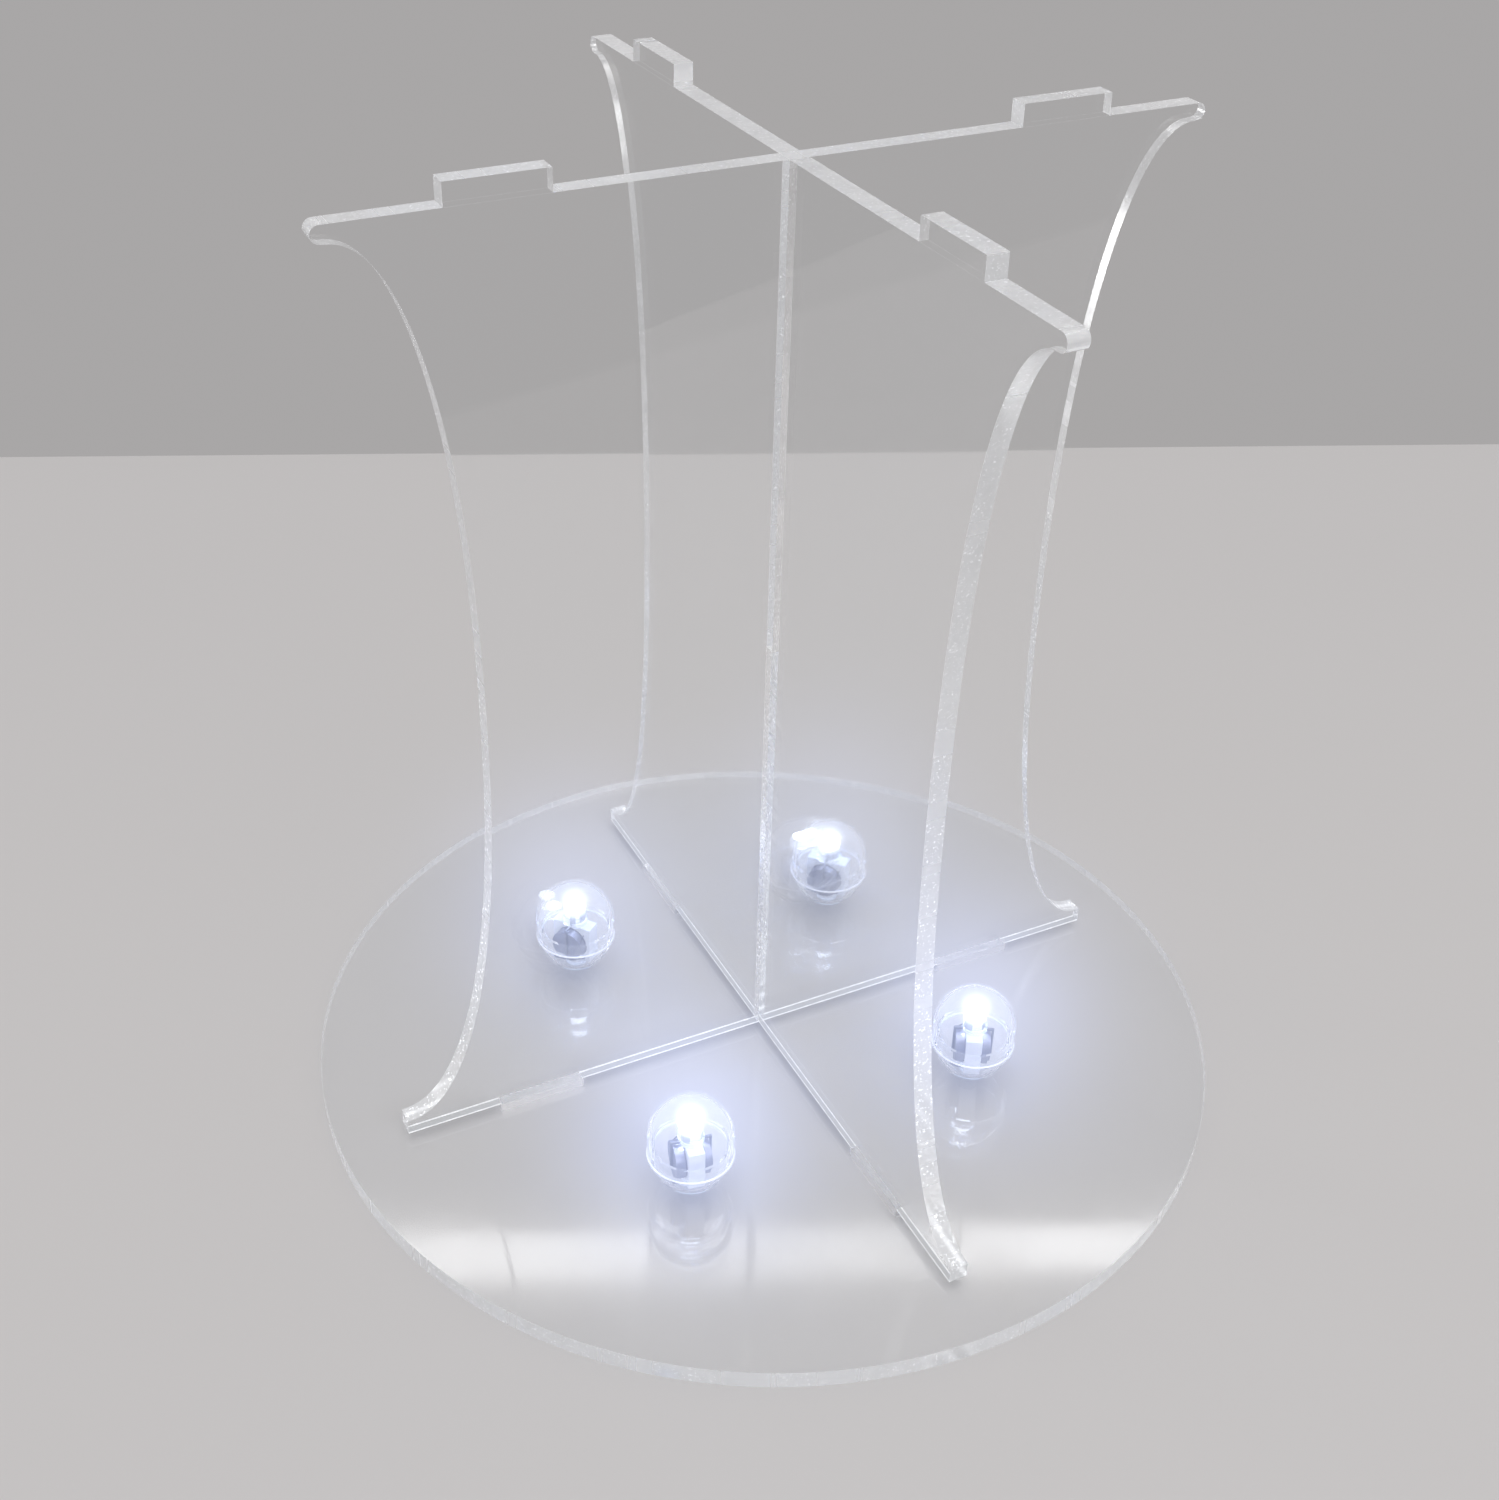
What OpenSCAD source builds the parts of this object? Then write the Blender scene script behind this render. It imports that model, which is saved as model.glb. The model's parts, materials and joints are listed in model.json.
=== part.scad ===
// Display stand in clear acrylic: two notched panels cross on a round base disc,
// and four small ball lights stand loose on the disc, one in each quarter.
// The origin is the centre of the disc's underside, +Z is up.
// The upper panel lies along X and the lower panel along Y.

/* [Sheet] */
// Thickness of the sheet that the disc and both panels are cut from
sheet_t = 4; // [3:0.5:5]
// Clearance on each side of a slot
slot_gap = 0.1; // [0.05:0.05:0.2]

/* [Base disc] */
// Diameter of the base disc
disc_d = 200; // [190:5:260]

/* [Panels] */
// Height of a panel from its foot to its top edge
panel_h = 198; // [180:1:230]
// Width across the two top tips
top_w = 173; // [150:1:178]
// Width across the two feet
foot_w = 171; // [150:1:178]
// Width at the waist
waist_w = 125; // [100:1:135]
// Height of the waist above the foot
waist_z = 95; // [80:1:110]
// Roundness of the curved sides: 2 is an ellipse, more is squarer
side_power = 2.25; // [2:0.05:3]
// Radius of the top tips
tip_r = 1.6; // [1.4:0.1:3]
// Height of the upright end of each foot
foot_face = 3.5; // [2:0.5:6]

/* [Tabs] */
// Distance from the crossing to the middle of each tab
tab_centre = 55; // [45:1:58]
// Width of each tab
tab_w = 19; // [12:1:22]
// Height of the tabs on the top edge
top_tab_h = 4.2; // [3:0.1:6]
// How far the lower tabs stop short of the disc's underside
tab_short = 0.1; // [0.05:0.05:0.5]

/* [Ball lights] */
// Diameter of the rim where the dome meets the cup
rim_d = 18.2; // [18:0.1:19]
// Outer diameter of the dome
dome_d = 18; // [17.8:0.1:18]
// Outer diameter of the round cup
cup_d = 16.6; // [16.5:0.1:16.7]
// Wall thickness of the dome and the cup
shell_t = 0.8; // [0.7:0.05:0.85]
// Height of the whole light above the disc
light_h = 22; // [22:0.5:26]
// Height of the rim above the disc
rim_z = 7.9; // [7.8:0.05:8]

/* [Cells and lamp] */
// Diameter of a button cell
cell_d = 7.9; // [7.5:0.1:7.9]
// Length of a button cell
cell_l = 2.6; // [2.4:0.1:3.6]
// Diameter of the lamp's lens
lamp_d = 5; // [3:0.5:5]
// Height of the lamp above its holder
lamp_h = 7; // [7:0.1:8.8]

/* [Hidden] */
$fn = 96;
slot_w = sheet_t + 2 * slot_gap;
bottom_tab_h = sheet_t - tab_short;
halving_end_gap = 0.15;
curve_steps = 20;
tip_steps = 8;
cut = 1;

light_count = 4;
light_at = [[-31.6, 37.2], [-36.8, -39.4], [33.8, -35.3], [36.6, 33.8]];
light_turn = [35, -10, -30, 42];

cup_inner_r = cup_d / 2 - shell_t;
cup_floor = 0.9;
rim_t = 0.8;
collar_top = rim_z + rim_t + 2.2;
dome_inner_r = dome_d / 2 - shell_t;
collar_r = dome_inner_r - 0.1;
dome_foot = rim_z + rim_t + 0.05;
dome_centre = light_h - dome_d / 2;

cell_z = 7.1;
cell_count = 3;
cell_gap = 0.05;
cell_cap_h = 0.6;
cell_cap_d = cell_d - 1.3;
stack_half = cell_count * cell_l / 2;

holder_w = 3.5;
holder_half_y = 4.9;
holder_foot_r = 2;
holder_bore_r = cell_d / 2 + 0.1;
holder_bottom = cell_z - holder_bore_r - 0.25;
deck_z = 12.1;

lead_t = 0.5;
lead_pitch = 2.54;
lead_end = 5;
groove_d = 0.6;
groove_w = 0.7;
flange_d = lamp_d + 0.8;
flange_h = 1;

clear_acrylic = [0.88, 0.91, 0.94, 0.35];
clear_shell = [0.86, 0.89, 0.97, 0.35];

part_names = ["cup", "holder", "cells", "leads", "lamp", "dome"];
light_nodes = [for (i = [1:light_count]) for (n = part_names) str(n, "_", i)];

// A point on a quarter of a superellipse with half axes a and b
function bow(a, b, t) = [a * pow(cos(t), 2 / side_power), b * pow(sin(t), 2 / side_power)];

// The right-hand side of a panel, from its foot up to its top edge
function panel_side() =
    let (tip_x = top_w / 2 - tip_r,
         tip_z = panel_h - tip_r,
         foot_x = foot_w / 2,
         waist_x = waist_w / 2,
         step = 90 / curve_steps,
         low = [for (t = [90:-step:0])
             let (p = bow(foot_x - waist_x, waist_z - foot_face, t)) [foot_x - p.x, waist_z - p.y]],
         high = [for (t = [step:step:90])
             let (p = bow(tip_x - waist_x, tip_z - tip_r - waist_z, t)) [tip_x - p.x, waist_z + p.y]],
         tip = [for (k = [1:tip_steps])
             let (t = -90 + 180 * k / tip_steps) [tip_x + tip_r * cos(t), tip_z + tip_r * sin(t)]])
    concat([[foot_x, 0]], low, high, tip);

// Panel outline with its four tabs, foot at zero height
module panel_outline() {
    side = panel_side();
    last = len(side) - 1;
    polygon(concat(side, [for (i = [last:-1:0]) [-side[i].x, side[i].y]]));
    for (s = [-1, 1]) translate([s * tab_centre - tab_w / 2, 0]) {
        translate([0, -bottom_tab_h]) square([tab_w, bottom_tab_h + cut]);
        translate([0, panel_h - cut]) square([tab_w, top_tab_h + cut]);
    }
}

// Slot to just past half height, open at the foot or at the top edge
module halving_slot(from_top) {
    depth = panel_h / 2 + halving_end_gap;
    z = from_top ? panel_h - depth : -cut;
    translate([-slot_w / 2, z]) square([slot_w, depth + cut]);
}

module panel(turn, from_top) {
    translate([0, 0, sheet_t]) rotate([90, 0, turn])
        linear_extrude(sheet_t, center = true)
            difference() {
                panel_outline();
                halving_slot(from_top);
            }
}

module base_disc() {
    slot_l = tab_w + 2 * slot_gap;
    color(clear_acrylic) difference() {
        cylinder(d = disc_d, h = sheet_t, $fn = 180);
        for (turn = [0, 90, 180, 270]) rotate(turn)
            translate([tab_centre - slot_l / 2, -slot_w / 2, -cut])
                cube([slot_l, slot_w, sheet_t + 2 * cut]);
    }
}

// Whole along its foot, notched from its top edge
module lower_panel() {
    color(clear_acrylic) panel(90, true);
}

// Whole along its top edge, notched from its foot, and dropped on last
module upper_panel() {
    color(clear_acrylic) panel(0, false);
}

// Places a light's piece on the disc, in the light's own quarter
module at_light(i) {
    translate([light_at[i - 1].x, light_at[i - 1].y, sheet_t]) rotate(light_turn[i - 1]) children();
}

// Round cup with a flat bottom, the rim, and the collar that the dome turns on
module cup(i) {
    color(clear_shell) at_light(i) difference() {
        union() {
            intersection() {
                translate([0, 0, rim_z]) sphere(d = cup_d);
                cylinder(d = rim_d, h = rim_z + rim_t / 2);
            }
            translate([0, 0, rim_z]) cylinder(d = rim_d, h = rim_t);
            translate([0, 0, rim_z]) cylinder(r = collar_r, h = collar_top - rim_z);
        }
        intersection() {
            translate([0, 0, rim_z]) sphere(r = cup_inner_r);
            translate([0, 0, cup_floor]) cylinder(d = rim_d, h = rim_z);
        }
        translate([0, 0, rim_z]) cylinder(r = cup_inner_r, h = collar_top);
    }
}

// Clear hollow dome that stands on the rim, round the collar
module dome(i) {
    color(clear_shell) at_light(i) difference() {
        union() {
            translate([0, 0, dome_foot]) cylinder(d = dome_d, h = dome_centre - dome_foot);
            intersection() {
                translate([0, 0, dome_centre]) sphere(d = dome_d);
                translate([0, 0, dome_centre]) cylinder(d = dome_d + 2, h = dome_d);
            }
        }
        translate([0, 0, dome_foot - cut]) cylinder(r = dome_inner_r, h = dome_centre - dome_foot + cut);
        translate([0, 0, dome_centre]) sphere(r = dome_inner_r);
    }
}

// Plastic cradle: a foot on the cup's floor, a loop round the cells and a deck for the lamp
module holder(i) {
    color("white") at_light(i) {
        difference() {
            translate([-holder_w / 2, -holder_half_y, holder_bottom])
                cube([holder_w, 2 * holder_half_y, deck_z - holder_bottom]);
            translate([-holder_w, 0, cell_z]) rotate([0, 90, 0]) cylinder(r = holder_bore_r, h = 2 * holder_w);
            translate([-holder_w, -groove_w / 2, deck_z - groove_d]) cube([2 * holder_w, groove_w, groove_d + cut]);
        }
        translate([0, 0, cup_floor]) cylinder(r = holder_foot_r, h = holder_bottom - cup_floor + 0.1);
    }
}

// Button cells end to end, each a can with a narrower cap
module cells(i) {
    can_l = cell_l - cell_gap - cell_cap_h;
    color("silver") at_light(i)
        for (k = [0:cell_count - 1]) translate([k * cell_l - stack_half, 0, cell_z]) rotate([0, 90, 0]) {
            cylinder(d = cell_d, h = can_l);
            cylinder(d = cell_cap_d, h = can_l + cell_cap_h);
        }
}

// The lamp's two legs: out along the deck's groove, then down over the ends of the cells
module leads(i) {
    z = deck_z - groove_d + 0.05;
    inner_x = lead_pitch / 2 - lead_t / 2;
    outer_x = stack_half + 0.02;
    color("silver") at_light(i)
        for (turn = [0, 180]) rotate(turn) {
            translate([inner_x, -lead_t / 2, z]) cube([outer_x + lead_t - inner_x, lead_t, lead_t]);
            translate([inner_x, -lead_t / 2, z]) cube([lead_t, lead_t, deck_z - z]);
            translate([outer_x, -lead_t / 2, lead_end]) cube([lead_t, lead_t, z + lead_t - lead_end]);
        }
}

// Round lamp with a flange that has a flat on one side
module lamp(i) {
    lens_z = deck_z + lamp_h - lamp_d / 2;
    color("lightcyan") at_light(i) {
        difference() {
            translate([0, 0, deck_z]) cylinder(d = flange_d, h = flange_h);
            translate([-flange_d - lamp_d / 2, -flange_d / 2, deck_z - cut])
                cube([flange_d, flange_d, flange_h + 2 * cut]);
        }
        translate([0, 0, deck_z]) cylinder(d = lamp_d, h = lens_z - deck_z);
        intersection() {
            translate([0, 0, lens_z]) sphere(d = lamp_d);
            translate([0, 0, lens_z]) cylinder(d = lamp_d + 2, h = lamp_d);
        }
    }
}

base_disc();
lower_panel();
upper_panel();
for (i = [1:light_count]) {
    cup(i);
    holder(i);
    cells(i);
    leads(i);
    lamp(i);
    dome(i);
}
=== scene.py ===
import json
import math

import bmesh
import bpy
from mathutils import Matrix, Vector
from mathutils.geometry import tessellate_polygon


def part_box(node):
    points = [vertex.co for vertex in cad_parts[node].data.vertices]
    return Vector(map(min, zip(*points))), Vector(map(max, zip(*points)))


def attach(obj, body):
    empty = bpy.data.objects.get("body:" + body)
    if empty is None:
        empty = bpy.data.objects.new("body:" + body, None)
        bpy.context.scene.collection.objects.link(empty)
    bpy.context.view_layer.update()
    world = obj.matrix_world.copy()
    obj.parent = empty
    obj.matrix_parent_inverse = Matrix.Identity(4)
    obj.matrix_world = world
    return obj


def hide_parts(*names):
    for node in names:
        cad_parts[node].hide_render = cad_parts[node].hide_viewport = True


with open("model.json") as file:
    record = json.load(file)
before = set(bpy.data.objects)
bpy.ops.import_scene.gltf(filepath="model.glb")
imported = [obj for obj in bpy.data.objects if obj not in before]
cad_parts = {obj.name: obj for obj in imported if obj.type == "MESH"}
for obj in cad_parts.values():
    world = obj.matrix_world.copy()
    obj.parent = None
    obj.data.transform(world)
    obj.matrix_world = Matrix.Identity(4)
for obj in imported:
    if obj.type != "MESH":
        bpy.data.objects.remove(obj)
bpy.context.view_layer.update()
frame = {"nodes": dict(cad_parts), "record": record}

MM = 0.001
BODY_OF = {
    node: body
    for body, nodes in frame["record"]["behaviour"]["bodies"].items()
    for node in nodes
}
LIGHTS = [1, 2, 3, 4]

# Camera: where it stands, and how it is turned, in degrees
CAMERA_AT = Vector((-0.1598, -0.2970, 0.3075))
CAMERA_HEADING = 26.6
CAMERA_DOWN = 34.45
CAMERA_ROLL = 1.17
CAMERA_LENS = 46.92
CAMERA_SENSOR = 36.0
CAMERA_SHIFT = (0.0164, 0.0027)

# Table: pale top, long across the view, with its back edge just behind the stand
TABLE_HEADING = 22.8
TABLE_BACK = 0.305
TABLE_FRONT_HEADING = 12.7
TABLE_FRONT = 0.331
TABLE_HALF_WIDTH = 1.6
TABLE_THICK = 0.004
TABLE_ROUNDING = 1.0 * MM
UNDER_GAP = 0.2 * MM

# Room: one even grey, and area lights. Each light's row holds its name, its place as a heading
# from +Y to +X in degrees, a distance and a height, the height that it aims at, its size, its power
# and its colour.
ROOM_GREY = (0.395, 0.385, 0.385, 1)
AREA_LIGHTS = [
    ("overhead", (198.4, 0.316, 2.3), 0, (1.8, 1.8), 17, (1.0, 0.985, 0.975)),
    ("strip", (24, 2.0, 2.37), 0, (2.6, 0.08), 3, (1, 1, 1)),
    ("behind_left", (-41, 1.6, 0.14), 0.14, (0.3, 0.45), 3, (1, 1, 1)),
    ("front", (165, 1.8, 1.2), 0.1, (1.2, 0.9), 7, (1, 1, 1)),
]

# Cut sheet: its outline
SMOOTH_TURN = math.radians(35)
STRAIGHT_TURN = math.radians(0.05)
SLIGHT_BEND = math.radians(0.3)
STRAIGHT_RATIO = 4
CURVE_CUTS = 4
WELD = 0.001 * MM

# Cut sheet: its finishes, in the order of their material slots, and where each one is used
FACE, CUT, LINE, FOOT, SEAM = range(5)
SLOT_REACH = 0.8
SEAM_REACH = 4.0 * MM
ACRYLIC_IOR = 1.49
DISC_ROUGHNESS = 0.05
PANEL_ROUGHNESS = 0.02
CUT_CLEARNESS = (0.35, 0.65)
SEAM_CLEARNESS = (0.8, 0.97)
# Painted glints on the cut edges: how bright they are, and the heights over which they fade
DISC_PAINTED_GLINT = 0.3
PANEL_PAINTED_GLINT = 1.3
PAINTED_GLINT_LOW = 50 * MM
PAINTED_GLINT_HIGH = 130 * MM
PAINTED_GLINT_ALOFT = 0.25
ARRIS = 0.22 * MM
# Width of the painted highlight line along each side of a panel's foot
PAINTED_FOOT_LINE = 0.7 * MM

# Ball lights
CELL_COUNT = 3
CAP_HEIGHT = 0.6 * MM
GASKET_IN = 0.5 * MM
GASKET_SIZE = 0.14 * MM
BEAD_SIZE = 0.2 * MM
BEAD_BELOW_DOME = 0.25 * MM
# For the dome and the cup: an IOR, then the strength of a painted glow (emission)
DOME_IOR = 1.03
DOME_PAINTED_GLOW = 0.045
CUP_IOR = 1.08
CUP_PAINTED_GLOW = 0.022

# Inside of a lamp, in millimetres: posts as x, width and height, and outlines as radius and height
POSTS = [(1.27, 0.5, 3.6), (-0.762, 1.1, 2.5)]
POST_DEPTH = 0.5
DISH_X = -0.381
DISH = [(0.02, 2.5), (0.95, 2.5), (1.35, 3.5), (1.2, 3.5), (0.8, 2.8), (0.02, 2.8)]
CHIP = [(0.02, 2.8), (0.7, 2.8), (0.55, 3.2), (0.02, 3.3)]

# Lit lamp
LENS_BODY_DEEP = 4.6 * MM
LENS_BODY_GLOW = 1.4
LENS_CROWN_DEEP = 0.9 * MM
LENS_CROWN_GLOW = 20.0
LED_POWER = 0.004
LED_COLOUR = (0.36, 0.52, 1.0)
LED_RADIUS = 1.5 * MM
LED_ABOVE = 0.3 * MM

# Picture: the glow's layers are a blur's share of the picture's width, and its tint
PATH_BOUNCES = 64
GLOW_ABOVE = 2.0
GLOW = [(0.01, (0.3, 0.3, 0.3)), (0.15, (4.3, 4.8, 7.4))]


# ---------------------------------------------------------------- shaders

class Shader:
    """A material under construction, with short ways to add nodes and join them."""

    def __init__(self, name):
        self.material = bpy.data.materials.new(name)
        self.material.use_nodes = True
        self.tree = self.material.node_tree
        self.tree.nodes.clear()

    def add(self, kind, inputs=None, **settings):
        node = self.tree.nodes.new(kind)
        for key, value in settings.items():
            setattr(node, key, value)
        for key, value in (inputs or {}).items():
            if isinstance(value, bpy.types.NodeSocket):
                self.tree.links.new(value, node.inputs[key])
            else:
                node.inputs[key].default_value = value
        return node

    def coords(self, scale=(1, 1, 1)):
        """Object coordinates in metres, times a scale for each axis."""
        source = self.add("ShaderNodeTexCoord").outputs["Object"]
        return self.add("ShaderNodeMapping", {"Vector": source, "Scale": scale}).outputs[0]

    def noise(self, vector, scale, detail=3.0, roughness=0.5):
        inputs = {"Vector": vector, "Scale": scale, "Detail": detail, "Roughness": roughness}
        return self.add("ShaderNodeTexNoise", inputs).outputs["Fac"]

    def spread(self, value, low, high, start=0.3, end=0.7):
        """Stretches a value from start..end to low..high."""
        inputs = {"Value": value, "From Min": start, "From Max": end, "To Min": low, "To Max": high}
        return self.add("ShaderNodeMapRange", inputs).outputs[0]

    def multiply(self, first, second):
        return self.add("ShaderNodeMath", {0: first, 1: second}, operation="MULTIPLY").outputs[0]

    def blend_colour(self, factor, first, second):
        node = self.add("ShaderNodeMix", {0: factor}, data_type="RGBA")
        pair = [socket for socket in node.inputs if socket.type == "RGBA"]
        pair[0].default_value = (*first, 1)
        pair[1].default_value = (*second, 1)
        return next(socket for socket in node.outputs if socket.type == "RGBA")

    def bump(self, height, distance, strength=1.0, normal=None):
        inputs = {"Height": height, "Distance": distance, "Strength": strength}
        if normal is not None:
            inputs["Normal"] = normal
        return self.add("ShaderNodeBump", inputs).outputs[0]

    def finish(self, surface):
        output = self.add("ShaderNodeOutputMaterial")
        self.tree.links.new(surface, output.inputs["Surface"])
        return self.material

    def finish_clear(self, surface, passed):
        """Ends a clear material: light on its way to a matt surface goes straight on, with a tint."""
        path = self.add("ShaderNodeLightPath")
        straight = self.add("ShaderNodeBsdfTransparent", {"Color": (*passed, 1)}).outputs[0]
        for ray in ("Is Diffuse Ray", "Is Shadow Ray"):
            mix = self.add("ShaderNodeMixShader", {0: path.outputs[ray], 1: surface, 2: straight})
            surface = mix.outputs[0]
        return self.finish(surface)


def sheet_face(name, roughness):
    """Polished face of the acrylic sheet: clear, faintly wavy, with rubbed patches."""
    s = Shader(name)
    at = s.coords()
    rubbed = s.noise(at, 45, detail=6, roughness=0.65)
    wave = s.noise(at, 14, detail=1)
    glass = s.add("ShaderNodeBsdfPrincipled", {
        "Base Color": s.blend_colour(rubbed, (0.985, 0.99, 0.995), (0.995, 0.998, 1.0)),
        "Roughness": s.spread(rubbed, roughness * 0.7, roughness * 1.5),
        "IOR": ACRYLIC_IOR,
        "Transmission Weight": 1.0,
        "Normal": s.bump(wave, 0.25 * MM, 0.25),
    })
    return s.finish_clear(glass.outputs[0], (0.982, 0.986, 0.99))


def cut_edge(name, along, glint, clearness):
    """Laser-cut edge: milky, with fine marks across the thickness; its faint glow and its small glints
    near the lamps are painted light, made by emission.

    along masks the axes that the marks vary on, glint is how bright the painted glints are, and
    clearness is how much light the milkiest and the clearest spots let through.
    """
    s = Shader(name)
    at = s.coords(along)
    marks = s.noise(at, 900, detail=4, roughness=0.7)
    bands = s.noise(at, 130, detail=3)
    frost = s.noise(s.coords(), 60, detail=5, roughness=0.6)
    # Painted glints: the peaks of this noise become small emissive spots, on a faint painted glow over
    # the whole edge
    painted_glint_spots = s.noise(s.coords(), 1500, detail=4, roughness=0.75)
    height = s.add("ShaderNodeSeparateXYZ", {0: s.coords()}).outputs["Z"]
    # The painted glints fade with height, as if the lamps lit the sheet from low down
    lit = s.spread(height, 1.0, PAINTED_GLINT_ALOFT, PAINTED_GLINT_LOW, PAINTED_GLINT_HIGH)
    glints = s.spread(painted_glint_spots, 0.06, glint, 0.57, 0.7)
    painted_shine = s.multiply(glints, lit)
    ridges = s.bump(marks, 0.05 * MM, 0.5, s.bump(bands, 0.2 * MM, 0.5))
    glass = s.add("ShaderNodeBsdfPrincipled", {
        "Base Color": s.blend_colour(frost, (0.93, 0.945, 0.96), (0.985, 0.99, 1.0)),
        "Roughness": s.spread(bands, 0.12, 0.34),
        "IOR": ACRYLIC_IOR,
        "Transmission Weight": s.spread(frost, *clearness),
        "Emission Color": (0.94, 0.96, 1.0, 1),
        "Emission Strength": painted_shine,
        "Normal": ridges,
    })
    return s.finish_clear(glass.outputs[0], (0.93, 0.94, 0.95))


def pressed_foot(name, axis, half):
    """A panel's foot, pressed on the disc: pale, with a painted highlight line (emission) along each
    side, broken by nicks.

    axis is the one across the sheet, and half is half its thickness.
    """
    s = Shader(name)
    side = s.add("ShaderNodeSeparateXYZ", {0: s.coords()}).outputs[axis]
    away = s.add("ShaderNodeMath", {0: side}, operation="ABSOLUTE").outputs[0]
    nicks_and_painted_glow = s.noise(s.coords(), 500, detail=4, roughness=0.7)
    # Painted highlight: an emissive line along each side of the foot, dimmed here and there by the nicks
    line = s.spread(away, 0.0, 1.0, half - PAINTED_FOOT_LINE, half - PAINTED_FOOT_LINE / 2)
    painted_shine = s.multiply(line, s.spread(nicks_and_painted_glow, 0.25, 0.9))
    body = s.add("ShaderNodeBsdfPrincipled", {
        "Base Color": s.blend_colour(nicks_and_painted_glow, (0.66, 0.67, 0.68), (0.78, 0.79, 0.8)),
        "Roughness": s.spread(nicks_and_painted_glow, 0.3, 0.5),
        "Emission Color": (0.95, 0.97, 1.0, 1),
        "Emission Strength": painted_shine,
        "Normal": s.bump(nicks_and_painted_glow, 0.05 * MM, 0.4),
    })
    return s.finish(body.outputs[0])


def arris_white():
    """The fine rounded corner between a face and a cut edge, bright with a painted highlight (emission).
    """
    s = Shader("arris")
    nicks_and_painted_glow = s.noise(s.coords(), 1100, detail=4, roughness=0.7)
    body = s.add("ShaderNodeBsdfPrincipled", {
        "Base Color": s.blend_colour(nicks_and_painted_glow, (0.9, 0.92, 0.94), (1.0, 1.0, 1.0)),
        "Roughness": s.spread(nicks_and_painted_glow, 0.1, 0.3),
        "IOR": ACRYLIC_IOR,
        "Transmission Weight": s.spread(nicks_and_painted_glow, 0.35, 0.0),
        "Emission Color": (0.92, 0.95, 1.0, 1),
        # Painted highlight: the arris glows by emission, unevenly along its nicks
        "Emission Strength": s.spread(nicks_and_painted_glow, 0.15, 0.8),
        "Normal": s.bump(nicks_and_painted_glow, 0.05 * MM, 0.5),
    })
    return s.finish_clear(body.outputs[0], (0.95, 0.96, 0.97))


def clear_shell(name, ior, haze):
    """Thin moulded clear plastic: faint flow lines, and a painted glow (emission) in place of lamp light
    in its haze.
    """
    s = Shader(name)
    at = s.coords()
    flow = s.noise(s.coords((1, 1, 0.25)), 420, detail=2)
    rubbed = s.noise(at, 240, detail=5, roughness=0.6)
    glass = s.add("ShaderNodeBsdfPrincipled", {
        "Base Color": s.blend_colour(rubbed, (0.97, 0.98, 1.0), (0.99, 0.995, 1.0)),
        "Roughness": s.spread(rubbed, 0.02, 0.07),
        "IOR": ior,
        "Transmission Weight": s.spread(rubbed, 0.93, 0.98),
        # Painted glow: the haze argument sets an emission that stands for the lamp's light scattered in
        # the plastic
        "Emission Color": (0.86, 0.9, 1.0, 1),
        "Emission Strength": s.spread(rubbed, haze * 0.8, haze * 1.2),
        "Normal": s.bump(flow, 0.05 * MM, 0.3),
    })
    return s.finish_clear(glass.outputs[0], (0.86, 0.87, 0.9))


def rim_bead_clear():
    """Polished bead round the light's rim, with a painted glow (emission) standing for lamp light in it.
    """
    s = Shader("rim_bead")
    wave = s.noise(s.coords(), 300, detail=2)
    body = s.add("ShaderNodeBsdfPrincipled", {
        "Base Color": s.blend_colour(wave, (0.9, 0.93, 1.0), (1.0, 1.0, 1.0)),
        "Roughness": s.spread(wave, 0.12, 0.3),
        "IOR": 1.5,
        "Emission Color": (0.86, 0.9, 1.0, 1),
        # Painted glow: emission on the bead, varied by the same noise as its colour
        "Emission Strength": s.spread(wave, 0.2, 0.4),
        "Normal": s.bump(wave, 0.05 * MM, 0.3),
    })
    return s.finish_clear(body.outputs[0], (0.95, 0.97, 0.99))


def holder_white():
    """Milky moulded plastic of the cradle, with a faint painted glow (emission) that brightens it."""
    s = Shader("holder_white")
    grain = s.noise(s.coords(), 2600, detail=3, roughness=0.6)
    tone_and_painted_glow = s.noise(s.coords(), 260, detail=2)
    body = s.add("ShaderNodeBsdfPrincipled", {
        "Base Color": s.blend_colour(tone_and_painted_glow, (0.76, 0.78, 0.83), (0.88, 0.9, 0.94)),
        "Roughness": s.spread(tone_and_painted_glow, 0.32, 0.5),
        "Subsurface Weight": 0.25,
        "Subsurface Radius": (0.8 * MM, 0.9 * MM, 1.0 * MM),
        "Emission Color": (0.8, 0.86, 1.0, 1),
        # Painted glow: emission that lifts the cradle, which the lamp's light hardly reaches
        "Emission Strength": s.spread(tone_and_painted_glow, 0.16, 0.24),
        "Normal": s.bump(grain, 0.03 * MM, 0.4),
    })
    return s.finish(body.outputs[0])


def metal(name, dark, light, roughness, scale, stretch):
    """Bare metal with fine lines that run one way, and duller patches."""
    s = Shader(name)
    lines = s.noise(s.coords(stretch), scale, detail=3, roughness=0.7)
    patch = s.noise(s.coords(), 500, detail=4)
    body = s.add("ShaderNodeBsdfPrincipled", {
        "Base Color": s.blend_colour(patch, dark, light),
        "Metallic": 1.0,
        "Roughness": s.spread(patch, roughness * 0.7, roughness * 1.5),
        "Normal": s.bump(lines, 0.02 * MM, 0.4),
    })
    return s.finish(body.outputs[0])


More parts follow.
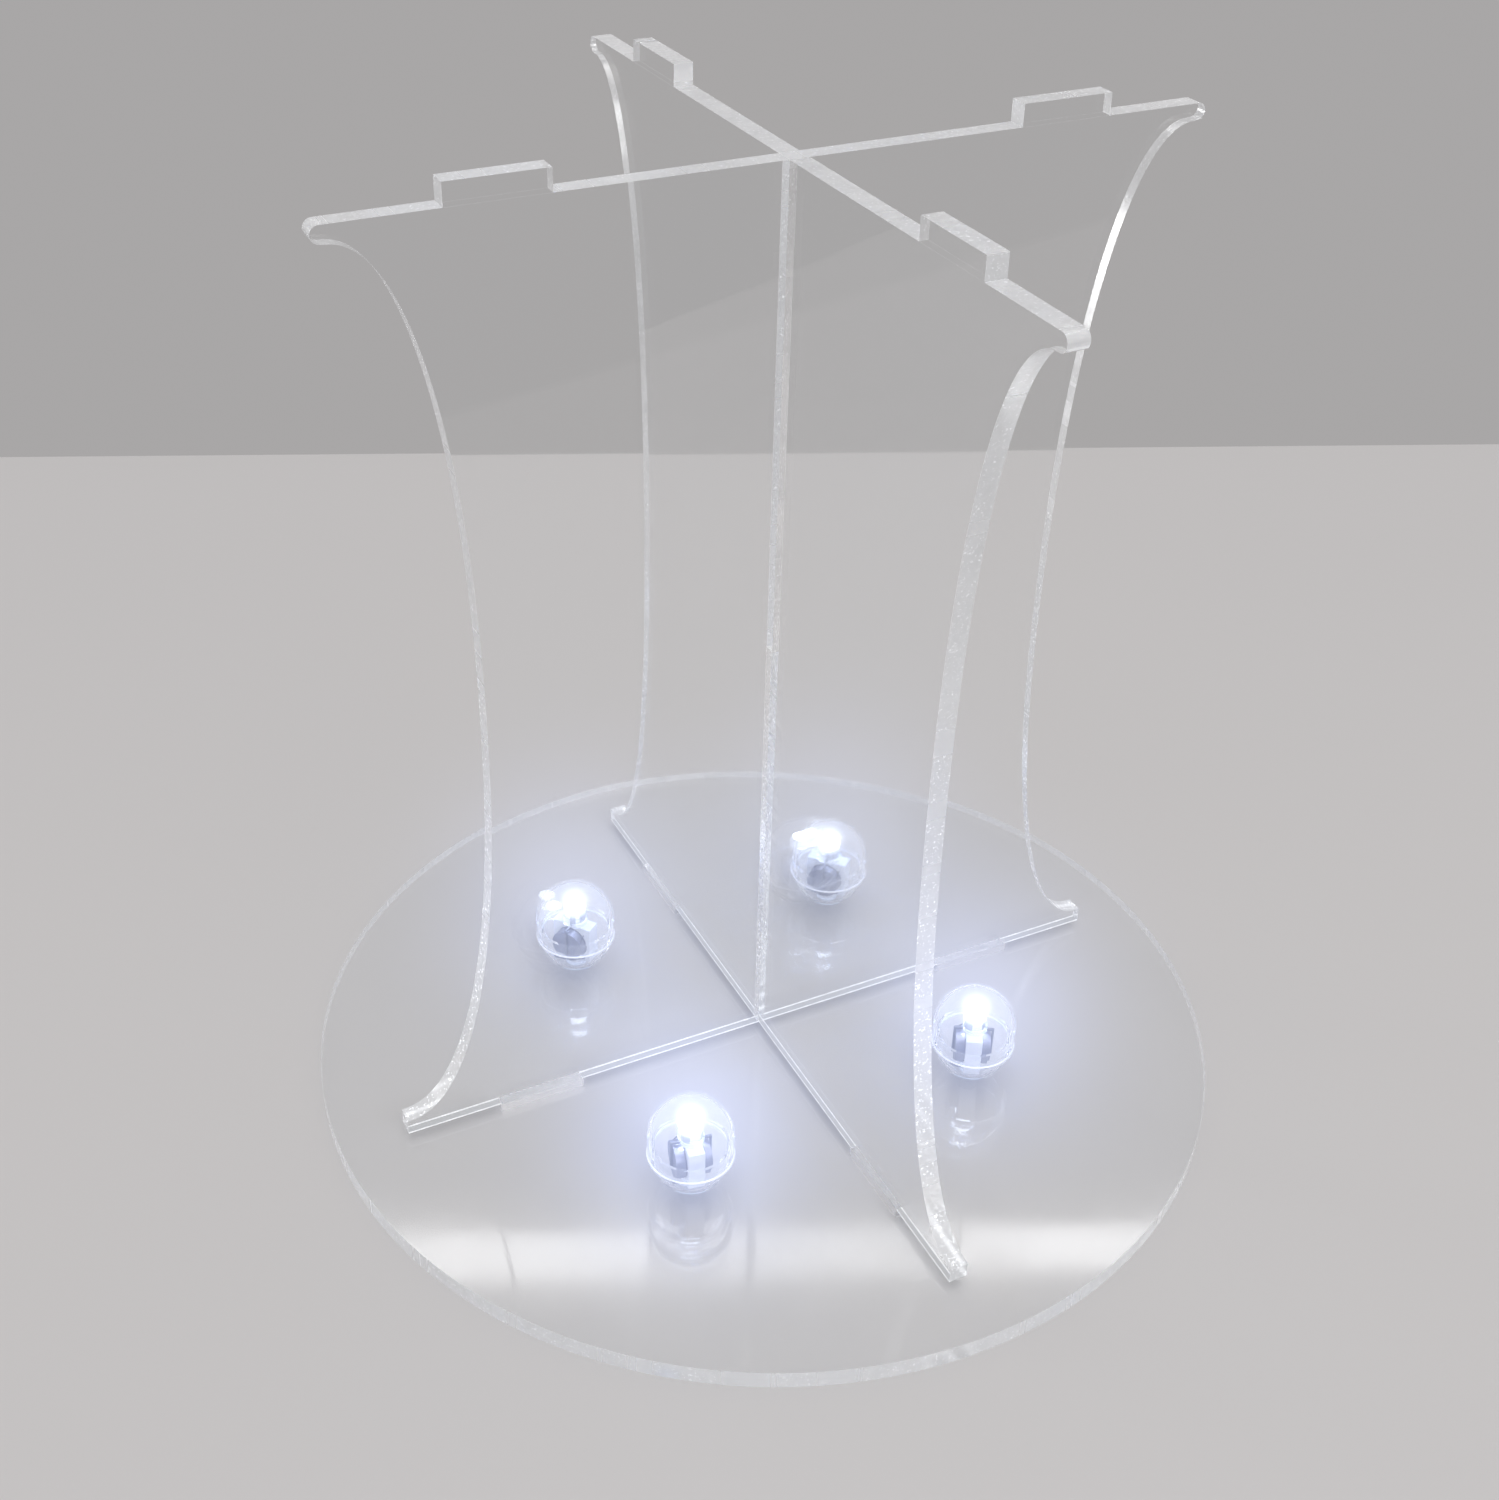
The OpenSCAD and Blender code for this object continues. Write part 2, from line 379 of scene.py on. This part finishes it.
def lamp_lens(top):
    """Clear lens, lit from inside: its body glows a little, and the light leaves through its crown."""
    s = Shader("lamp_lens")
    height = s.add("ShaderNodeSeparateXYZ", {0: s.coords()}).outputs["Z"]
    haze = s.noise(s.coords(), 700, detail=3)
    body_low, crown_low = top - LENS_BODY_DEEP, top - LENS_CROWN_DEEP
    body_glow = s.spread(height, 0.12, LENS_BODY_GLOW, body_low, body_low + LENS_BODY_DEEP / 2)
    crown_glow = s.spread(height, 0.0, LENS_CROWN_GLOW, crown_low, crown_low + LENS_CROWN_DEEP / 2)
    glow = s.add("ShaderNodeMath", {0: body_glow, 1: crown_glow}, operation="ADD")
    lens = s.add("ShaderNodeBsdfPrincipled", {
        "Base Color": s.blend_colour(haze, (0.9, 0.95, 1.0), (0.97, 0.985, 1.0)),
        "Roughness": s.spread(haze, 0.04, 0.12),
        "IOR": 1.53,
        "Transmission Weight": 0.9,
        "Emission Color": (0.8, 0.88, 1.0, 1),
        "Emission Strength": glow.outputs[0],
    })
    return s.finish_clear(lens.outputs[0], (0.93, 0.96, 1.0))


def phosphor():
    """The lit chip under its yellow-green phosphor."""
    s = Shader("phosphor")
    grain = s.noise(s.coords(), 4000, detail=3)
    chip = s.add("ShaderNodeBsdfPrincipled", {
        "Base Color": s.blend_colour(grain, (0.9, 0.85, 0.4), (1.0, 0.95, 0.6)),
        "Roughness": s.spread(grain, 0.5, 0.7),
        "Emission Color": (0.95, 1.0, 0.85, 1),
        "Emission Strength": s.spread(grain, 7.0, 10.0),
        "Normal": s.bump(grain, 0.02 * MM, 0.4),
    })
    return s.finish(chip.outputs[0])


def gasket_nylon():
    """Dull nylon seal round a cell's cap."""
    s = Shader("gasket_nylon")
    grain = s.noise(s.coords(), 3000, detail=3)
    body = s.add("ShaderNodeBsdfPrincipled", {
        "Base Color": s.blend_colour(grain, (0.1, 0.1, 0.11), (0.16, 0.16, 0.17)),
        "Roughness": s.spread(grain, 0.4, 0.6),
        "Normal": s.bump(grain, 0.02 * MM, 0.4),
    })
    return s.finish(body.outputs[0])


def table_top():
    """Pale laminate with a very fine grain."""
    s = Shader("table_top")
    grain = s.noise(s.coords(), 900, detail=4, roughness=0.6)
    cloud = s.noise(s.coords(), 3, detail=2)
    body = s.add("ShaderNodeBsdfPrincipled", {
        "Base Color": s.blend_colour(cloud, (0.705, 0.695, 0.695), (0.735, 0.725, 0.725)),
        "Roughness": s.spread(grain, 0.5, 0.62),
        "Normal": s.bump(grain, 0.02 * MM, 0.3),
    })
    return s.finish(body.outputs[0])


# ---------------------------------------------------------------- stage

def make_camera():
    data = bpy.data.cameras.new("camera")
    data.sensor_width = CAMERA_SENSOR
    data.lens = CAMERA_LENS
    data.shift_x, data.shift_y = CAMERA_SHIFT
    data.clip_start, data.clip_end = 0.01, 20
    camera = bpy.data.objects.new("camera", data)
    heading = Matrix.Rotation(math.radians(-CAMERA_HEADING), 4, "Z")
    tilt = Matrix.Rotation(math.radians(90 - CAMERA_DOWN), 4, "X")
    roll = Matrix.Rotation(math.radians(CAMERA_ROLL), 4, "Z")
    camera.matrix_world = Matrix.Translation(CAMERA_AT) @ heading @ tilt @ roll
    bpy.context.scene.collection.objects.link(camera)
    bpy.context.scene.camera = camera


def table_corner(edge_heading, distance, side):
    """A point far along one of the table's long edges, to the left or to the right."""
    a = math.radians(edge_heading)
    normal = Vector((math.sin(a), math.cos(a), 0))
    run = Vector((math.cos(a), -math.sin(a), 0))
    return normal * distance + run * side * TABLE_HALF_WIDTH


def make_table():
    """The table's top: a long slab with rounded edges, whose back edge crosses behind the stand."""
    corners = [
        table_corner(TABLE_HEADING, TABLE_BACK, -1),
        table_corner(TABLE_FRONT_HEADING, -TABLE_FRONT, -1),
        table_corner(TABLE_FRONT_HEADING, -TABLE_FRONT, 1),
        table_corner(TABLE_HEADING, TABLE_BACK, 1),
    ]
    bm = bmesh.new()
    top = bm.faces.new([bm.verts.new(point - Vector((0, 0, UNDER_GAP))) for point in corners])
    under = bmesh.ops.extrude_face_region(bm, geom=[top])["geom"]
    lowered = [v for v in under if isinstance(v, bmesh.types.BMVert)]
    bmesh.ops.translate(bm, vec=(0, 0, -TABLE_THICK), verts=lowered)
    bmesh.ops.recalc_face_normals(bm, faces=bm.faces)
    bmesh.ops.bevel(bm, geom=bm.edges, offset=TABLE_ROUNDING, segments=3, affect="EDGES", profile=0.5)
    mesh = bpy.data.meshes.new("table")
    bm.to_mesh(mesh)
    bm.free()
    mesh.materials.append(table_top())
    table = bpy.data.objects.new("table", mesh)
    bpy.context.scene.collection.objects.link(table)


def make_world():
    """A room of one even grey."""
    world = bpy.data.worlds.new("room")
    bpy.context.scene.world = world
    world.use_nodes = True
    tree = world.node_tree
    background = tree.nodes["Background"]
    background.inputs["Color"].default_value = ROOM_GREY
    background.inputs["Strength"].default_value = 1.0


def area_light(name, at, towards, size, power, colour):
    data = bpy.data.lights.new(name, "AREA")
    data.shape = "RECTANGLE"
    data.size, data.size_y = size
    data.energy = power
    data.color = colour
    light = bpy.data.objects.new(name, data)
    light.location = at
    light.rotation_mode = "QUATERNION"
    light.rotation_quaternion = (Vector(towards) - Vector(at)).to_track_quat("-Z", "Y")
    bpy.context.scene.collection.objects.link(light)


def heading_point(heading, distance, height):
    """A point at a distance from the origin, towards a heading measured from +Y to +X."""
    a = math.radians(heading)
    return Vector((math.sin(a) * distance, math.cos(a) * distance, height))


def make_lights():
    for name, (heading, distance, height), aim_height, size, power, colour in AREA_LIGHTS:
        at = heading_point(heading, distance, height)
        area_light(name, at, (0, 0, aim_height), size, power, colour)


# ---------------------------------------------------------------- cut sheets

def sheet_loops(node, axis):
    """The closed outlines of a sheet, seen along its thickness, as lists of points in order."""
    bm = bmesh.new()
    bm.from_mesh(frame["nodes"][node].data)
    bmesh.ops.remove_doubles(bm, verts=bm.verts, dist=WELD)
    bm.normal_update()
    face_set = {f for f in bm.faces if f.normal[axis] > 0.9}
    after = {}
    for face in face_set:
        for loop in face.loops:
            if not any(other in face_set for other in loop.edge.link_faces if other is not face):
                after[loop.vert.index] = loop.link_loop_next.vert.index
    places = {v.index: v.co.copy() for v in bm.verts}
    loops = []
    while after:
        start, vert = next(iter(after.items()))
        del after[start]
        ring = [places[start]]
        while vert != start:
            ring.append(places[vert])
            vert = after.pop(vert)
        loops.append(ring)
    bm.free()
    return loops


def drop_straight(ring):
    """Leaves out points that lie on a straight run."""
    kept = []
    for i, point in enumerate(ring):
        before, after = ring[i - 1], ring[(i + 1) % len(ring)]
        if (point - before).angle(after - point, 0) > STRAIGHT_TURN:
            kept.append(point)
    return kept


def tangent(before, point, after):
    """Direction of a smooth curve at a point, or None at a corner."""
    come, go = point - before, after - point
    if come.angle(go, 0) > SMOOTH_TURN:
        return None
    if come.length > STRAIGHT_RATIO * go.length:
        return come.normalized()
    if go.length > STRAIGHT_RATIO * come.length:
        return go.normalized()
    return (come.normalized() * go.length + go.normalized() * come.length).normalized()


def smooth_ring(ring):
    """Puts finer points on the curved stretches of an outline and leaves its corners and straights."""
    ring = drop_straight(ring)
    count = len(ring)
    tangents = [tangent(ring[i - 1], ring[i], ring[(i + 1) % count]) for i in range(count)]
    fine = []
    for i in range(count):
        start, end = ring[i], ring[(i + 1) % count]
        fine.append(start)
        chord = end - start
        leave, arrive = tangents[i], tangents[(i + 1) % count]
        bend = max(chord.angle(t, 0) if t is not None else 0 for t in (leave, arrive))
        if bend < SLIGHT_BEND:
            continue
        leave = (leave or chord.normalized()) * chord.length
        arrive = (arrive or chord.normalized()) * chord.length
        for k in range(1, CURVE_CUTS):
            t = k / CURVE_CUTS
            fine.append(
                start * (2 * t**3 - 3 * t**2 + 1) + leave * (t**3 - 2 * t**2 + t)
                + end * (3 * t**2 - 2 * t**3) + arrive * (t**3 - t**2)
            )
    return fine


def wall_is_level(wall):
    """True for a wall that lies flat, such as a stretch of the top edge."""
    heights = [vert.co.z for vert in wall.verts]
    return max(heights) - min(heights) < ARRIS


def wall_finish(node, wall):
    """A wall's finish: clear in the disc's slots and on the tabs in them, or foot, seam or plain cut."""
    disc_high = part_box("base_disc")[1]
    point = wall.calc_center_median()
    if node != "base_disc" and abs(point.z - disc_high.z) < UNDER_GAP:
        return FOOT
    if point.z < disc_high.z + UNDER_GAP and point.xy.length < disc_high.x * SLOT_REACH:
        return FACE
    if point.xy.length < SEAM_REACH and not wall_is_level(wall):
        return SEAM
    return CUT


def cut_sheet(node, axis, along, glint, roughness, arris):
    """A sheet with smooth cut curves and fine arrises, made on the CAD node's own outline.

    axis is the one across the sheet, and along masks the axes that run along its cut edges.
    """
    low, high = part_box(node)
    rings = [smooth_ring(ring) for ring in sheet_loops(node, axis)]
    bm = bmesh.new()
    layers = []
    for level in (low[axis], high[axis]):
        layer = []
        for ring in rings:
            points = [point.copy() for point in ring]
            for point in points:
                point[axis] = level
            layer.append([bm.verts.new(point) for point in points])
        layers.append(layer)
    for layer in layers:
        verts = [v for ring in layer for v in ring]
        for triangle in tessellate_polygon([[v.co for v in ring] for ring in layer]):
            bm.faces.new([verts[i] for i in triangle])
    for under, over in zip(*layers):
        for i in range(len(under)):
            j = (i + 1) % len(under)
            wall = bm.faces.new([under[i], under[j], over[j], over[i]])
            wall.material_index = wall_finish(node, wall)
    bmesh.ops.recalc_face_normals(bm, faces=bm.faces)
    for face in bm.faces:
        face.smooth = True
    mesh = bpy.data.meshes.new(node + "_sheet")
    bm.to_mesh(mesh)
    bm.free()
    mesh.set_sharp_from_angle(angle=SMOOTH_TURN)
    finishes = {
        FACE: sheet_face(node + "_face", roughness),
        CUT: cut_edge(node + "_cut", along, glint, CUT_CLEARNESS),
        LINE: arris,
        FOOT: pressed_foot(node + "_foot", axis, high[axis]),
        SEAM: cut_edge(node + "_seam", along, glint, SEAM_CLEARNESS),
    }
    for finish in sorted(finishes):
        mesh.materials.append(finishes[finish])
    sheet = bpy.data.objects.new(node + "_sheet", mesh)
    bpy.context.scene.collection.objects.link(sheet)
    bevel = sheet.modifiers.new("arris", "BEVEL")
    bevel.width = ARRIS
    bevel.segments = 2
    bevel.limit_method = "ANGLE"
    bevel.angle_limit = SMOOTH_TURN
    bevel.harden_normals = True
    bevel.material = LINE
    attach(sheet, BODY_OF[node])
    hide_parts(node)


def make_sheets():
    arris = arris_white()
    cut_sheet("base_disc", 2, (1, 1, 0), DISC_PAINTED_GLINT, DISC_ROUGHNESS, arris)
    cut_sheet("lower_panel", 0, (0, 1, 1), PANEL_PAINTED_GLINT, PANEL_ROUGHNESS, arris)
    cut_sheet("upper_panel", 1, (1, 0, 1), PANEL_PAINTED_GLINT, PANEL_ROUGHNESS, arris)


# ---------------------------------------------------------------- ball lights

def give(node, material):
    """Puts a material on all of a CAD node's slots."""
    for slot in frame["nodes"][node].material_slots:
        slot.material = material


def along_node(node):
    """The horizontal direction in which a node's points spread most, as a turn from +X."""
    points = [v.co for v in frame["nodes"][node].data.vertices]
    middle = sum(points, Vector()) / len(points)
    xx = sum((p.x - middle.x) ** 2 for p in points)
    yy = sum((p.y - middle.y) ** 2 for p in points)
    xy = sum((p.x - middle.x) * (p.y - middle.y) for p in points)
    return math.atan2(2 * xy, xx - yy) / 2


def lathe(bm, profile, place, sides=48, material=0):
    """Turns a closed outline of (radius, height) points about the place's own Z axis."""
    rings = []
    for k in range(sides):
        turn = Matrix.Rotation(2 * math.pi * k / sides, 4, "Z")
        rings.append([bm.verts.new(place @ turn @ Vector((r, 0, z))) for r, z in profile])
    for k in range(sides):
        here, there = rings[k], rings[(k + 1) % sides]
        for m in range(len(profile)):
            n = (m + 1) % len(profile)
            face = bm.faces.new([here[m], there[m], there[n], here[n]])
            face.smooth = True
            face.material_index = material


def round_profile(radius, height, size, points=10):
    """A small circle, as the outline of a ring of that radius at that height."""
    turns = [2 * math.pi * k / points for k in range(points)]
    return [(radius + size * math.cos(t), height + size * math.sin(t)) for t in turns]


def block(bm, size, place, material=0):
    """A box with softened edges, in the middle of a place."""
    made = bmesh.ops.create_cube(bm, size=1, matrix=place @ Matrix.Diagonal((*size, 1)))
    edges = list({edge for vert in made["verts"] for edge in vert.link_edges})
    faces = {face for vert in made["verts"] for face in vert.link_faces}
    for face in faces:
        face.material_index = material
    bmesh.ops.bevel(bm, geom=edges, offset=min(size) * 0.15, segments=2, affect="EDGES", profile=0.5)


def piece(name, bm, materials, body):
    """Makes an object of finished mesh code and lets it ride on a body."""
    bmesh.ops.recalc_face_normals(bm, faces=bm.faces)
    mesh = bpy.data.meshes.new(name)
    bm.to_mesh(mesh)
    bm.free()
    mesh.set_sharp_from_angle(angle=SMOOTH_TURN)
    for material in materials:
        mesh.materials.append(material)
    made = bpy.data.objects.new(name, mesh)
    bpy.context.scene.collection.objects.link(made)
    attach(made, body)


def rim_bead(i, material):
    """The bright bead on the rim of a light, where its dome meets its cup."""
    low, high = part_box(f"cup_{i}")
    dome_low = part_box(f"dome_{i}")[0]
    radius = (high.x - low.x) / 2
    centre = (low + high) / 2
    bm = bmesh.new()
    place = Matrix.Translation((centre.x, centre.y, dome_low.z - BEAD_BELOW_DOME))
    lathe(bm, round_profile(radius - BEAD_SIZE * 0.7, 0, BEAD_SIZE), place, sides=96)
    piece(f"rim_bead_{i}", bm, [material], BODY_OF[f"cup_{i}"])


def gaskets(i, material):
    """The dark seals round the caps of a light's cells."""
    node = f"cells_{i}"
    low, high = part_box(node)
    turn = Matrix.Rotation(along_node(node), 4, "Z")
    centre = (low + high) / 2
    place = Matrix.Translation(centre) @ turn
    inward = place.inverted()
    reach = max((inward @ v.co).x for v in frame["nodes"][node].data.vertices)
    pitch = 2 * reach / CELL_COUNT
    cell_r = (high.z - low.z) / 2
    bm = bmesh.new()
    for k in range(CELL_COUNT):
        x = -reach + (k + 1) * pitch - CAP_HEIGHT
        lie = place @ Matrix.Translation((x, 0, 0)) @ Matrix.Rotation(math.radians(90), 4, "Y")
        lathe(bm, round_profile(cell_r - GASKET_IN, 0, GASKET_SIZE, 8), lie)
    piece(f"gaskets_{i}", bm, [material], BODY_OF[node])


def lamp_inside(i, wire, lit):
    """What shows inside a lamp: two posts, the dished reflector on one, and the lit chip in it."""
    low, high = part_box(f"lamp_{i}")
    turn = Matrix.Rotation(along_node(f"leads_{i}"), 4, "Z")
    centre = (low + high) / 2
    place = Matrix.Translation((centre.x, centre.y, low.z)) @ turn
    bm = bmesh.new()
    for x, width, height in POSTS:
        middle = place @ Matrix.Translation((x * MM, 0, height * MM / 2))
        block(bm, (width * MM, POST_DEPTH * MM, height * MM), middle)
    over_post = place @ Matrix.Translation((DISH_X * MM, 0, 0))
    for material, (profile, sides) in enumerate([(DISH, 32), (CHIP, 24)]):
        lathe(bm, [(r * MM, z * MM) for r, z in profile], over_post, sides, material)
    piece(f"lamp_inside_{i}", bm, [wire, lit], BODY_OF[f"lamp_{i}"])


def led_light(i):
    """The light that leaves the lamp, near the top of its lens."""
    low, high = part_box(f"lamp_{i}")
    data = bpy.data.lights.new(f"led_{i}", "POINT")
    data.energy = LED_POWER
    data.color = LED_COLOUR
    data.shadow_soft_size = LED_RADIUS
    light = bpy.data.objects.new(f"led_{i}", data)
    light.location = (*((low + high) / 2).xy, high.z + LED_ABOVE)
    light.visible_camera = False
    light.visible_glossy = False
    light.visible_transmission = False
    bpy.context.scene.collection.objects.link(light)
    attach(light, BODY_OF[f"lamp_{i}"])


def make_ball_lights():
    holder, bead, nylon = holder_white(), rim_bead_clear(), gasket_nylon()
    dome = clear_shell("dome_clear", DOME_IOR, DOME_PAINTED_GLOW)
    cup = clear_shell("cup_clear", CUP_IOR, CUP_PAINTED_GLOW)
    # The cells' steel is darker and bluer than bright steel: painted shade, for the dark strips that
    # shade leaves on the cells, and dimmer lamp highlights
    steel = metal("cell_steel", (0.22, 0.23, 0.3), (0.32, 0.33, 0.42), 0.42, 1800, (1, 1, 0.2))
    wire = metal("lead_wire", (0.22, 0.23, 0.28), (0.32, 0.33, 0.38), 0.5, 2500, (1, 1, 0.3))
    lens = lamp_lens(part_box("lamp_1")[1].z)
    lit = phosphor()
    finishes = {"cup": cup, "dome": dome, "holder": holder, "cells": steel, "leads": wire, "lamp": lens}
    for i in LIGHTS:
        for part, material in finishes.items():
            give(f"{part}_{i}", material)
        rim_bead(i, bead)
        gaskets(i, nylon)
        lamp_inside(i, wire, lit)
        led_light(i)


# ---------------------------------------------------------------- the picture

def set_light_paths():
    """Lets light run on inside the clear sheets, whose cut edges are seen through many reflections."""
    cycles = bpy.context.scene.cycles
    cycles.caustics_reflective = False
    cycles.caustics_refractive = False
    cycles.max_bounces = PATH_BOUNCES
    cycles.glossy_bounces = PATH_BOUNCES
    cycles.transmission_bounces = PATH_BOUNCES
    cycles.transparent_max_bounces = PATH_BOUNCES


def vector_output(node):
    return next(socket for socket in node.outputs if socket.type == "VECTOR")


def set_glow():
    """Plain colours, with the soft glow that a lens puts round the lit lamps."""
    scene = bpy.context.scene
    scene.view_settings.view_transform = "Standard"
    scene.use_nodes = True
    tree = scene.node_tree
    nodes, link = tree.nodes, tree.links.new
    picture = nodes["Render Layers"].outputs["Image"]
    bright = nodes.new("CompositorNodeGlare")
    bright.inputs["Threshold"].default_value = GLOW_ABOVE
    link(picture, bright.inputs["Image"])
    result = picture
    for share, tint in GLOW:
        size = nodes.new("CompositorNodeRelativeToPixel")
        size.data_type = "VECTOR"
        size.reference_dimension = "X"
        size.inputs[0].default_value = (share, share)
        link(picture, size.inputs["Image"])
        blur = nodes.new("CompositorNodeBlur")
        blur.filter_type = "FAST_GAUSS"
        link(bright.outputs["Highlights"], blur.inputs["Image"])
        link(vector_output(size), blur.inputs["Size"])
        tinted = nodes.new("CompositorNodeMixRGB")
        tinted.blend_type = "MULTIPLY"
        tinted.inputs[2].default_value = (*tint, 1)
        link(blur.outputs["Image"], tinted.inputs[1])
        total = nodes.new("CompositorNodeMixRGB")
        total.blend_type = "ADD"
        link(result, total.inputs[1])
        link(tinted.outputs[0], total.inputs[2])
        result = total.outputs[0]
    link(result, nodes["Composite"].inputs["Image"])


# ---------------------------------------------------------------- the scene

make_camera()
make_world()
make_table()
make_lights()
make_sheets()
make_ball_lights()

set_light_paths()
set_glow()
